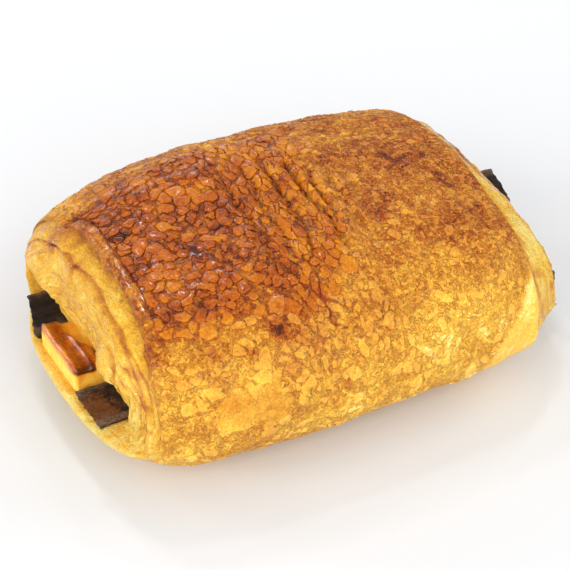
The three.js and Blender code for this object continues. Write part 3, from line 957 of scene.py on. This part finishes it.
def end_looks(end, points):
    """The browning and the rest of an end: pale, with brown along the folds and the wrap, and with
    patches; darker along the grooves between the layers, which is painted shade; paler inside the
    slot, and more baked at the back."""
    _, y, z = np.moveaxis(points, -1, 0)
    _, size, angle, outermost = end_face(end, y, z)
    edge = size / outermost
    up = smooth(-0.1, 0.35, np.sin(angle))
    layer = layer_number(points, size)
    part = layer - np.floor(layer)
    fold, second = past_folds(points, size)
    above = smooth(9, 12, z)
    streaks = smooth(0.3, 0.75, hills(joined(size * 60, y * 0.25, z * 0.25), 2.2, 62))
    bake = 0.10 + 0.08 * hills(points, 5, 60) + 0.08 * hills(points, 1.8, 61)
    bake = bake + 0.22 * smooth(0.35, 0.7, hills(points, 2.3, 69)) * smooth(12, 18, z)
    bake = bake + 0.20 * streaks * above
    bake = bake + 0.30 * up * bell(fold, 0.012) + 0.14 * up * window(fold, -0.08, -0.02, 0, 0.01)
    bake = bake + 0.22 * up * bell(second, 0.010) * smooth(-0.2, 0.3, hills(points, 6, 58))
    # Darker along the grooves between the layers: painted shade.
    bake = bake + 0.13 * bell(part - 0.92, 0.10) * above * smooth(-0.4, 0.4, hills(points, 4, 67))
    bake = bake + 0.22 * up * bell(edge - 1, 0.03)
    burnt = smooth(0.55, 0.75, hills(points, 1.6, 64)) * up * smooth(0.74, 0.8, size)
    bake = bake + 0.38 * burnt * smooth(-4, 2, y)
    back = smooth(18, 26, y) * smooth(12, 20, z)
    bake = bake + 0.06 * back + 0.18 * back * streaks
    bake = bake - 0.08 * (1 - smooth(8.8, 9.8, z))
    if end > 0:
        behind = smooth(-8, 4, y)
        bake = bake + 0.06 + 0.12 * behind - 0.12 * (1 - behind) * smooth(16, 24, z)
        bake = bake + 0.20 * streaks * smooth(0, 8, z) * (1 - above)
    face = np.ones(size.shape)
    face[: len(WALL_SHARES) + len(SIDE_SHARES)] = 0
    bake = mix(0.20 + 0.10 * hills(points, 3, 65), bake, 0.2 + 0.8 * face)
    if end < 0:
        outline = bell(from_fold_bump(y, z) - 4.5, 0.42) * smooth(-0.6, 0.2, hills(points, 3, 63))
        blotch = bell(np.hypot(y - 2, z - 23.5), 5)
        corner = (1 - smooth(-19, -15, y)) * above
        left = 0.45 * outline * (z > 18) + 0.16 * blotch
        # In the front corner the grooves between the layers are darker still: painted shade.
        bake = bake + face * (left + corner * (0.24 * bell(part - 0.95, 0.12) - 0.04))
    turned = np.where(angle < -0.5 * math.pi, angle + FULL_TURN, angle)
    flush = 1 - edge_step(end, turned) / WRAP_THICKNESS[end]
    patches = smooth(-0.3, 0.3, hills(points, 5, 68))
    return {
        "bake": mix(bake, browning(points), smooth(0.84, 1, edge) * flush),
        "gloss": 0.45 + 0.5 * up * smooth(-0.3, 0.4, hills(points, 3, 66)),
        "stain": 0,
        "flaky": 0.7 * face,
        "layer": layer,
        "run": 0.12 * np.abs(y),
        "streaky": smooth(9, 11, z) * (0.2 + 0.8 * face) * (0.2 + 0.5 * patches),
    }


def make_end(name, end):
    """An end, from a pole in the middle of the slot's wall to a pole inside the roll."""
    rings = end_rings(end)
    wall_middle = np.array([end * SLOT_WALL, *SLOT_MIDDLE])
    inner = np.array([end * (wrap_end(end, np.zeros(1))[0] - 5), 0, BELLY_HEIGHT])
    looks = end_looks(end, rings)
    tube(name, wall_middle, rings, inner, looks, crumb_finish, "pastry", end > 0)


make_end("layers_left", -1)
make_end("layers_right", 1)


# The tongues between the sticks

TONGUE_AROUND = 120
TONGUE_ROWS = 70
TONGUE_LOW = SLOT_FLOOR - 2
TONGUE_START = SLOT_WALL - 2
TONGUE_MIDDLE = np.array([0, (TONGUE_FRONT + TONGUE_BACK) / 2, (TONGUE_LOW + TONGUE_TOP) / 2])


def make_tongue(name, end):
    """The tongue of dough between the sticks: a rounded rectangle carried outwards, its section
    swelling and sinking a little, rounded over at the end, hollowed and glazed on top."""
    turn = np.linspace(0, FULL_TURN, TONGUE_AROUND, endpoint=False)
    share = np.linspace(0, 1, TONGUE_ROWS)[:, None]
    shrink = 1 - 0.13 * smooth(0.82, 1, share) ** 2 - 0.85 * smooth(0.955, 1, share) ** 3
    box = rounded_box(turn, 7) * shrink
    x = mix(TONGUE_START, TONGUE_END, 1 - (1 - share) ** 1.3)
    y = TONGUE_MIDDLE[1] + (TONGUE_BACK - TONGUE_FRONT) / 2 * box * np.cos(turn)
    z = TONGUE_MIDDLE[2] + (TONGUE_TOP - TONGUE_LOW) / 2 * box * np.sin(turn)
    points = joined(end * x, y, z)
    soft = 0.25 * hills(points, 4, 70) + 0.12 * hills(points, 1.5, 71)
    outwards = unit((points - TONGUE_MIDDLE) * [0, 1, 1])
    points = points + outwards * (soft * (1 - smooth(0.9, 1, share)))[..., None]
    x = np.abs(points[..., 0])
    y = points[..., 1]
    inner = 1 - smooth(0, 1, x + 0.3 * hills(points, 2, 75) - mix(39.6, 41.9, smooth(-1, 9, y)))
    hollow = 0.55 * bell(x - 43.5, 1.3) * bell(y - 4, 6.0)
    raised = 0.25 * bell(x - 45.0, 0.5) + 0.3 * bell(x - 42.0, 0.4)
    points[..., 2] += (raised - hollow - 1.2 * inner) * smooth(12, 14, points[..., 2])
    z = points[..., 2]
    top = smooth(12.6, 13.4, z + 1.2 * inner + 0.2 * hills(points, 1.5, 72)) * (1 - 0.6 * inner)
    bake = 0.12 + 0.05 * hills(points, 2, 73) + top * (0.56 + 0.14 * hills(points, 2.5, 74))
    bake = bake + 0.12 * top * bell(x - 43.5, 1.2)
    bake = bake + 0.30 * (1 - smooth(-4.6, -3.6, y)) * smooth(9, 13, z) * smooth(40, 44, x)
    bake = bake + 0.16 * top * (bell(x - 42.0, 0.5) + bell(y - 11.2, 0.6) + bell(y + 3.8, 0.5))
    looks = {"bake": bake, "gloss": 0.1 + 1.5 * top, "stain": 0, "flaky": 0}
    first = TONGUE_MIDDLE + [end * TONGUE_START, 0, 0]
    last = TONGUE_MIDDLE + [end * TONGUE_END, 0, 0]
    tube(name, first, points, last, looks, glaze_finish, "pastry", end < 0)


make_tongue("tongue_left", -1)
make_tongue("tongue_right", 1)


# The chocolate sticks

STICK_AROUND = 168
STICK_ROWS = 150
BROKEN_ROWS = 9


def stick_section():
    """The rounded rectangle of a stick, across and up, with grooves between the lobes on top, and
    how near a corner each place lies."""
    half = STICK_WIDTH / 2
    depth = STICK_THICKNESS / 2
    turn = np.linspace(0, FULL_TURN, STICK_AROUND, endpoint=False)
    box = rounded_box(turn, 9)
    across = half * box * np.cos(turn)
    high = depth * box * np.sin(turn)
    place = (across / (half - STICK_CORNER) * 0.5 + 0.5) * LOBES
    flute = 1 - np.abs(np.sin(math.pi * place))
    flute = flute * ((place > 0.1) & (place < LOBES - 0.1)) * smooth(0.6, 0.95, high / depth)
    high = high - FLUTE_DEPTH * 0.8 * flute**1.5
    return across, high, np.abs(across / half) * np.abs(high / depth)


def make_stick(name):
    """A flat bar with rounded corners and lobes on top, carried straight from its left end to its
    right one and rolled about its length. Both ends are broken off: rings close together there
    shrink to the middle over a jagged face, and hills roughen the skin."""
    spec = STICKS[name]
    across, high, corner = stick_section()
    broken_in = np.linspace(0.12, 0.995, BROKEN_ROWS)
    shrink = np.concatenate([broken_in, np.ones(STICK_ROWS), broken_in[::-1]])[:, None]
    rows = [BROKEN_ROWS, STICK_ROWS, BROKEN_ROWS]
    shares = np.concatenate([np.zeros(rows[0]), np.linspace(0, 1, rows[1]), np.ones(rows[2])])[:, None]
    broken = np.repeat([1, 0, 1], rows)[:, None]
    slant = mix(spec["skew"][0], spec["skew"][1], shares)
    under = mix(-spec["undercut"][0], spec["undercut"][1], shares)
    centre = mix(np.array(spec["left"]), np.array(spec["right"]), shares)[:, None, :]
    u = across * shrink
    w = high * shrink
    tilt = math.radians(spec["roll"])
    points = centre + joined(
        u * slant + w * under,
        u * math.cos(tilt) - w * math.sin(tilt),
        u * math.sin(tilt) + w * math.cos(tilt),
    )
    jag = 0.3 * hills(points, 1.3, 80) + 0.18 * hills(points, 0.5, 81)
    near_end = np.maximum(1 - smooth(0, 0.03, shares), smooth(0.97, 1, shares))
    outward = np.where(shares < 0.5, -1, 1)
    points[..., 0] += outward * near_end * (jag - 0.35)
    rough = 0.08 * hills(points * [0.35, 1, 1], 0.7, 82) + 0.20 * hills(points, 1.9, 83)
    chipped = smooth(0.35, 0.8, hills(points, 2.2, 84)) * near_end
    away = unit((points - centre) * [0, 1, 1])
    points = points + away * ((rough - 0.1 - 0.5 * chipped) * shrink)[..., None]
    dust = (1 - smooth(0.03, 0.09, shares)) * bell(u + 1, 4.5) * smooth(-0.5, 1.5, w)
    looks = {
        "broken": broken,
        "dust": dust * (name == "chocolate_front"),
        # Near the corners: where the painted highlight of the edges goes.
        "worn": smooth(0.52, 0.82, corner + 0.2 * hills(points, 1.2, 85)),
    }
    first = points[0].mean(axis=0)
    last = points[-1].mean(axis=0)
    piece = name.replace("chocolate", "stick")
    tube(piece, first, points, last, looks, chocolate_finish, name)


make_stick("chocolate_front")
make_stick("chocolate_back")


# The crackled skin: thin plates that lie on the wrap with narrow gaps between them

# Plates are scattered between these places along the roll, and the glazed ones from GLAZED_RUN on
# round the section. NO_PLATE is the spacing where none may lie.
NO_PLATE = 99
PLATES_LEFT = -36.3
PLATES_RIGHT = 44.0
GLAZED_RIGHT = 18
GLAZED_RUN = 70

# Each look gives the thickness, how far plates lean and their outlines wobble, how wide the foot is,
# and what is added to the browning on the plate, at its rim and at its foot. The paler rim is partly
# the plate's own pale edge and partly a painted highlight; the darker foot is partly darker caramel
# and partly painted shade where the plate meets the skin.
GLAZED_LOOK = dict(thick=0.15, tilt=0.04, wobble=0.45, foot=1.15, on_plate=0.05, rim_paler_and_highlight=-0.03, foot_darker_and_shade=0.17)
FLAKE_LOOK = dict(thick=0.09, tilt=0.08, wobble=0.6, foot=1.06, on_plate=-0.02, rim_paler_and_highlight=-0.07, foot_darker_and_shade=0.04)


def scatter(random, spacing_at, count, low, high):
    """Places (x, run round the section) no closer than a spacing that depends on the place:
    of many random places, one stays if no earlier one that is still in play lies too near, and
    after each round those too near a kept one leave play."""
    x = random.uniform(low[0], high[0], count)
    run = random.uniform(low[1], high[1], count)
    place = np.stack([x, run], axis=-1)
    spacing = spacing_at(place)
    x, run = place.astype(np.float32).T
    wanted = spacing.astype(np.float32) / 2
    near = np.hypot(x[:, None] - x, run[:, None] - run) < wanted[:, None] + wanted
    np.fill_diagonal(near, False)
    in_play = spacing < NO_PLATE
    kept = np.zeros(count, bool)
    earlier = np.tril(np.ones((count, count), bool), -1)
    for _ in range(5):
        blocked = (near & earlier & in_play[None]).any(axis=1)
        chosen = in_play & ~blocked
        kept |= chosen
        in_play &= ~(chosen | (near & chosen[None]).any(axis=1))
    return place[kept]


def rays(count):
    """Arrows of length 1 in evenly spaced directions."""
    turn = np.arange(count) / count * FULL_TURN
    return np.stack([np.cos(turn), np.sin(turn)], axis=-1)


def outlines(place, directions, gap, largest, rounds):
    """How far each plate reaches in each direction: to the nearest line halfway to a neighbour,
    less half the gap, and no further than largest. Each round takes the corners down a little
    towards the mean of the two directions beside them."""
    ray = rays(directions)
    offset = place[None] - place[:, None]
    apart = (offset**2).sum(axis=-1)
    nearest = np.argsort(apart, axis=1)[:, 1:17]
    offset = np.take_along_axis(offset, nearest[..., None], axis=1)
    apart = np.take_along_axis(apart, nearest, axis=1)
    along_ray = np.einsum("pnk,dk->pnd", offset, ray)
    reach = np.where(along_ray > 1e-3, apart[..., None] / (2 * np.maximum(along_ray, 1e-3)), 1e3)
    reach = np.minimum(reach.min(axis=1), largest)
    for _ in range(rounds):
        beside = (np.roll(reach, 1, axis=1) + np.roll(reach, -1, axis=1)) / 2
        reach = np.minimum(reach, mix(reach, beside, 0.6))
    edge = place[:, None] + reach[..., None] * ray
    gap = gap * (0.5 + 1.3 * hills(joined(edge[..., 0], edge[..., 1], 0), 2.4, 98))
    return np.maximum(reach - gap, 0.25)


def plate_faces(directions):
    """Triangles of one plate: a fan from its middle, two bands down to its foot, and a fan to the
    point underneath."""
    i = np.arange(directions)
    following = (i + 1) % directions
    faces = [np.stack([0 * i, 1 + following, 1 + i], axis=-1)]
    for here in (1, 1 + directions):
        there = here + directions
        faces.append(np.stack([here + i, there + following, there + i], axis=-1))
        faces.append(np.stack([here + i, here + following, there + following], axis=-1))
    foot = 1 + 2 * directions
    bottom = 1 + 3 * directions
    faces.append(np.stack([0 * i + bottom, foot + i, foot + following], axis=-1))
    return np.concatenate(faces)


def make_plates(name, random, place, reach, look, finish):
    """Plates: each is a fan from its middle to a ring near its edge, a lower rim, and a foot just
    under the skin. reach says how far each goes in each direction. The outlines wobble with one
    field of hills, so that neighbours keep an even gap."""
    count, directions = reach.shape
    thick = look["thick"]
    ring_share = np.array([0.0, 0.62, 0.93, look["foot"]])[:, None]
    spread = reach[:, None, :] * ring_share
    flat = place[:, None, None, :] + spread[..., None] * rays(directions)
    spot = joined(flat[..., 0], flat[..., 1], 0)
    for size, amount, seed in ((3.6, 1, 88), (1.6, 1.1, 90), (0.8, 0.8, 92)):
        shift = np.stack([hills(spot, size, seed), hills(spot, size, seed + 1)], axis=-1)
        flat = flat + amount * look["wobble"] * shift * ring_share[..., None]
    flat = drawn_back(flat)
    angle = np.interp(flat[..., 1], ARC_RUN, ARC_ANGLE)
    flat[..., 0] = np.clip(flat[..., 0], 1.9 - wrap_end(-1, angle), wrap_end(1, angle) - 0.3)
    points, normal = skin_and_normal(flat[..., 0], angle)
    leaning = random.uniform(-look["tilt"], look["tilt"], (count, 1, 1, 2))
    lean = ((flat - drawn_back(place)[:, None, None]) * leaning).sum(axis=-1)
    level = thick * random.uniform(0.55, 1.3, (count, 1, 1))
    domed = np.array([1, 1, 0.62, 0])[:, None]
    curl = 0.3 * thick * random.standard_normal(lean.shape) * np.array([0, 0.4, 1, 0])[:, None]
    on_top = np.array([1, 1, 1, 0])[:, None]
    sunk = bed_depth(points) + 0.04
    lift = (level * domed + np.maximum(lean, -0.8 * level) + curl) * on_top - sunk * (1 - on_top)
    points = points + normal * lift[..., None]
    middle = points[:, :1].mean(axis=2)
    under = points[:, 3:].mean(axis=2) - normal[:, 3:].mean(axis=2) * 0.1
    vertices = np.concatenate([middle, points[:, 1:].reshape(count, -1, 3), under], axis=1)
    corners = plate_faces(directions) + np.arange(count)[:, None, None] * vertices.shape[1]
    ring_of = np.concatenate([[0], np.repeat([1, 2, 3], directions), [3]])
    own = random.uniform(-1, 1, (count, 1))
    tone = browning(vertices) + 0.06 * own + look["on_plate"]
    # Rims painted paler, partly a painted highlight; feet painted darker, partly painted shade.
    tone = tone + look["rim_paler_and_highlight"] * (ring_of == 2) + look["foot_darker_and_shade"] * (ring_of == 3)
    gloss = np.clip(glossiness(vertices) + 0.1 * own, 0, 1)
    looks = {"bake": tone.ravel(), "gloss": gloss.ravel(), "stain": red_stain(vertices).ravel(), "flaky": 1}
    sides = np.full(corners.size // 3, 3)
    make_piece(name, vertices, corners.ravel(), sides, looks, finish, "pastry")


def drawn_back(place):
    """The places with x drawn back over the wrinkles from where it was scattered, so that plates
    are narrow there."""
    x, scattered = zip(*WRINKLE_DRAW)
    return np.stack([np.interp(place[..., 0], scattered, x), place[..., 1]], axis=-1)


def spot_of(place):
    """The point of the skin under a scattered place."""
    place = drawn_back(place)
    return skin(place[:, 0], np.interp(place[:, 1], ARC_RUN, ARC_ANGLE))


def glazed_spacing(place):
    """Wide plates in the glazed zone, none elsewhere."""
    points = spot_of(place)
    size = 1.8 + 0.4 * hills(points, 5, 95) + 0.9 * hills(points, 2.1, 99)
    return np.where(glazed_zone(points) > 0.45, np.maximum(size, 1.0), NO_PLATE)


def flake_spacing(place):
    """Small flakes on the matt top and down the front and back, few low down, and none in the
    glazed zone, on the bare patch or past the right border."""
    points = spot_of(place)
    x, y, z = np.moveaxis(points, -1, 0)
    past = (y < -6) & (x - along(PALE_BORDER, z) > -1)
    drop = (glazed_zone(points) > 0.40) | (bare_patch(points) > 0.5) | past
    cluster = hills(points, 5, 96) + 0.5 * hills(points, 2.2, 94)
    drop = drop | (cluster < along([(4, 0.4), (12, 0.1), (22, 0.0), (29, -0.5)], z))
    size = 1.35 + 0.35 * (1 - smooth(-30, -20, y)) + 0.35 * hills(points, 6, 97)
    return np.where(drop, NO_PLATE, size + 0.4 * hills(points, 2, 93))


def bumpy(random, shape):
    """Random numbers that change slowly from each direction to the next."""
    draw = random.standard_normal(shape)
    return (draw + np.roll(draw, 1, axis=1) + np.roll(draw, -1, axis=1)) / 2


def make_glazed_plates(random, run_end):
    """Rounded plates of nearly even reach, and here and there one left out."""
    low = (PLATES_LEFT, GLAZED_RUN)
    high = (GLAZED_RIGHT, run_end)
    place = scatter(random, glazed_spacing, count=4600, low=low, high=high)
    place = place[random.uniform(0, 1, len(place)) > 0.08]
    reach = outlines(place, directions=20, gap=0.34, largest=2.6, rounds=5)
    reach = np.minimum(reach, 1.22 * reach.mean(axis=1, keepdims=True))
    reach = reach * random.uniform(0.78, 1.08, (len(place), 1)) * (1 + 0.12 * bumpy(random, reach.shape))
    make_plates("glazed_plates", random, place, reach, GLAZED_LOOK, plate_finish)


def make_crust_flakes(random, run_start, run_end):
    """Ragged flakes that leave much of the skin bare, smaller on the right of the top."""
    low = (PLATES_LEFT, run_start)
    high = (PLATES_RIGHT, run_end)
    place = scatter(random, flake_spacing, count=9500, low=low, high=high)
    place = place[random.uniform(0, 1, len(place)) > 0.18]
    reach = outlines(place, directions=12, gap=0.12, largest=1.7, rounds=1)
    grown = random.uniform(0.3, 0.95, (len(place), 1))
    spots = spot_of(place)
    grown = grown * (1 - 0.4 * smooth(4, 12, spots[:, :1]) * smooth(25, 29, spots[:, 2:]))
    reach = np.maximum(reach * grown * (1 + 0.38 * bumpy(random, reach.shape)), 0.12)
    make_plates("crust_flakes", random, place, reach, FLAKE_LOOK, flake_finish)


# The flakes go from low on the back over the top to low on the front.
draws = np.random.default_rng(7)
back_run, front_run = np.interp([-0.35, math.pi + 0.5], ARC_ANGLE, ARC_RUN)
make_glazed_plates(draws, front_run)
make_crust_flakes(draws, back_run, front_run)


# Stage, light and camera

CAMERA_TARGET = np.array([-5.023, -2.39, 16]) * MILLIMETRE
CAMERA_DISTANCE = 436.35 * MILLIMETRE
CAMERA_AZIMUTH = -28.08
CAMERA_ELEVATION = 38.0
CAMERA_LENS = 146.31
TABLE_HALF = 6
TABLE_DROP = 0.02 * MILLIMETRE


def round_the_part(azimuth, elevation, distance):
    """A place round the part: azimuth 0 looks along +Y, elevation is above the table, in degrees."""
    a, e = math.radians(azimuth), math.radians(elevation)
    away = np.array([math.sin(a) * math.cos(e), -math.cos(a) * math.cos(e), math.sin(e)])
    return CAMERA_TARGET + away * distance


def looking_at(thing, target):
    """Turns a camera or light so that its -Z axis points at a target."""
    direction = Vector(target) - thing.location
    thing.rotation_euler = direction.to_track_quat("-Z", "Y").to_euler()


def make_light(name, azimuth, elevation, distance, size, power, colour):
    """A rectangular lamp round the part that shines at its middle, in metres and watts."""
    data = bpy.data.lights.new(name, "AREA")
    data.shape = "RECTANGLE"
    data.size, data.size_y = size
    data.energy = power
    data.color = colour
    light = bpy.data.objects.new(name, data)
    bpy.context.scene.collection.objects.link(light)
    light.location = round_the_part(azimuth, elevation, distance)
    looking_at(light, CAMERA_TARGET)


def make_floor():
    """A white table top, a little below the part so that the two don't share a plane."""
    mesh = bpy.data.meshes.new("table")
    half = TABLE_HALF
    corners = [(-half, -half, 0), (half, -half, 0), (half, half, 0), (-half, half, 0)]
    mesh.from_pydata(corners, [], [(0, 1, 2, 3)])
    floor = bpy.data.objects.new("table", mesh)
    bpy.context.scene.collection.objects.link(floor)
    floor.location.z = -TABLE_DROP
    paper = Finish("white table", Base_Color=(0.68, 0.695, 0.71, 1), Roughness=0.75)
    mesh.materials.append(paper.material)


def make_camera():
    """The camera at the place and with the lens that were fitted to the outline in the photo."""
    data = bpy.data.cameras.new("camera")
    data.lens = CAMERA_LENS
    data.sensor_width = 36
    data.clip_start = 0.01
    data.clip_end = 20
    camera = bpy.data.objects.new("camera", data)
    bpy.context.scene.collection.objects.link(camera)
    camera.location = round_the_part(CAMERA_AZIMUTH, CAMERA_ELEVATION, CAMERA_DISTANCE)
    looking_at(camera, CAMERA_TARGET)
    bpy.context.scene.camera = camera


make_floor()
make_camera()

# Azimuth and elevation in degrees, distance, size, power and colour.
make_light("window", 166, 29, 1.1, (0.5, 0.2), 1.5, (1.0, 0.98, 1.0))
make_light("lamp", 160, 66, 1.1, (0.08, 0.08), 1.0, (1.0, 0.98, 0.98))
make_light("second lamp", 142, 53, 1.1, (0.06, 0.06), 0.45, (1.0, 0.98, 0.98))
make_light("third lamp", 174, 53, 1.1, (0.10, 0.10), 1.0, (1.0, 0.96, 0.97))
make_light("left panel", -140, 22, 0.9, (0.22, 0.22), 1.0, (1.0, 0.95, 0.97))
make_light("left fill", -70, 26, 1.4, (1.3, 1.0), 15.0, (1.0, 0.98, 0.96))
make_light("end lamp", -104, 17, 1.1, (0.12, 0.12), 1.2, (1.0, 0.97, 0.94))
make_light("right fill", 78, 32, 1.4, (1.0, 0.8), 6.2, (1.0, 1.0, 1.0))
make_light("front panel", 4, 32, 1.4, (1.7, 1.1), 15.0, (1.0, 1.0, 1.0))

world = bpy.data.worlds.new("room")
world.use_nodes = True
background = world.node_tree.nodes["Background"]
background.inputs["Color"].default_value = (1, 1, 1, 1)
background.inputs["Strength"].default_value = 0.45
bpy.context.scene.world = world
bpy.context.scene.view_settings.view_transform = "Standard"
